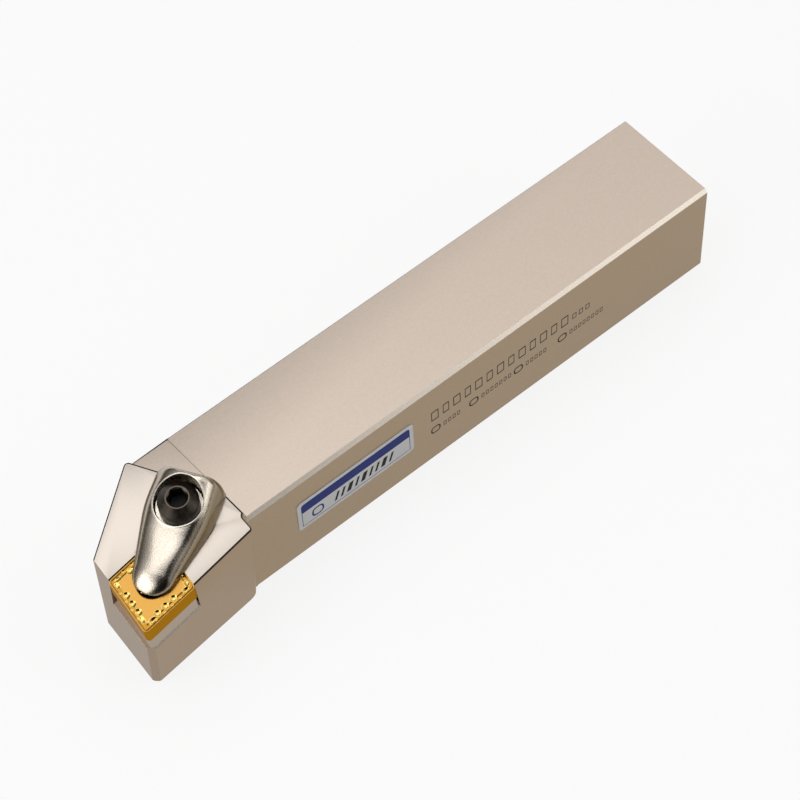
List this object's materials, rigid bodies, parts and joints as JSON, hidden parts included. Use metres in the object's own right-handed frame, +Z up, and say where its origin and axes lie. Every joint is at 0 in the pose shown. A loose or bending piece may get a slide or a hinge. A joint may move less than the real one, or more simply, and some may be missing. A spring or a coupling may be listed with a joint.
{
  "type": "turning tool holder",
  "caption": "Right-hand external turning tool holder: square steel shank with a rhombic carbide insert on a shim, held by a forged clamping finger and its screw.",
  "frame": {"origin": "on the shank's base face, in the middle of the shank's width and of the tool's length", "axes": "+X from the cutting tip to the tail, +Z up, the cutting side of the head towards -Y"},
  "size_m": [0.15, 0.032, 0.0368],
  "materials": {
    "nickel_steel": "satin nickel plate over ground steel",
    "nickel_clamp": "satin nickel plate over forged steel",
    "coated_carbide": "gold nitride coating, satin",
    "bare_carbide": "ground tungsten carbide",
    "black_oxide": "black oxide with a film of oil",
    "spring_steel": "drawn spring wire",
    "sticker": "printed film with a blue band"
  },
  "bodies": {
    "holder": {"holder_body": "nickel_steel", "shim": "bare_carbide", "shim_screw": "black_oxide", "insert": "coated_carbide", "clamp_spring": "spring_steel", "label": "sticker"},
    "clamp": {"clamp": "nickel_clamp"},
    "clamp_screw": {"clamp_screw": "black_oxide"}
  },
  "joints": [
    {"name": "clamp_lift", "type": "slide", "parent": "holder", "child": "clamp", "axis": [-0.0945, -0.1132, 0.9891], "range_m": [0, 0.003], "deforming": ["clamp_spring"]},
    {"name": "screw_turn", "type": "hinge", "parent": "clamp", "child": "clamp_screw", "pos_m": [-0.05506, -0.0049, 0.02859], "axis": [-0.0945, -0.1132, 0.9891], "range_deg": [0, 1350]}
  ],
  "couplings": [
    {"joint": "screw_turn", "follows": "clamp_lift", "rad_per_m": 7854}
  ]
}
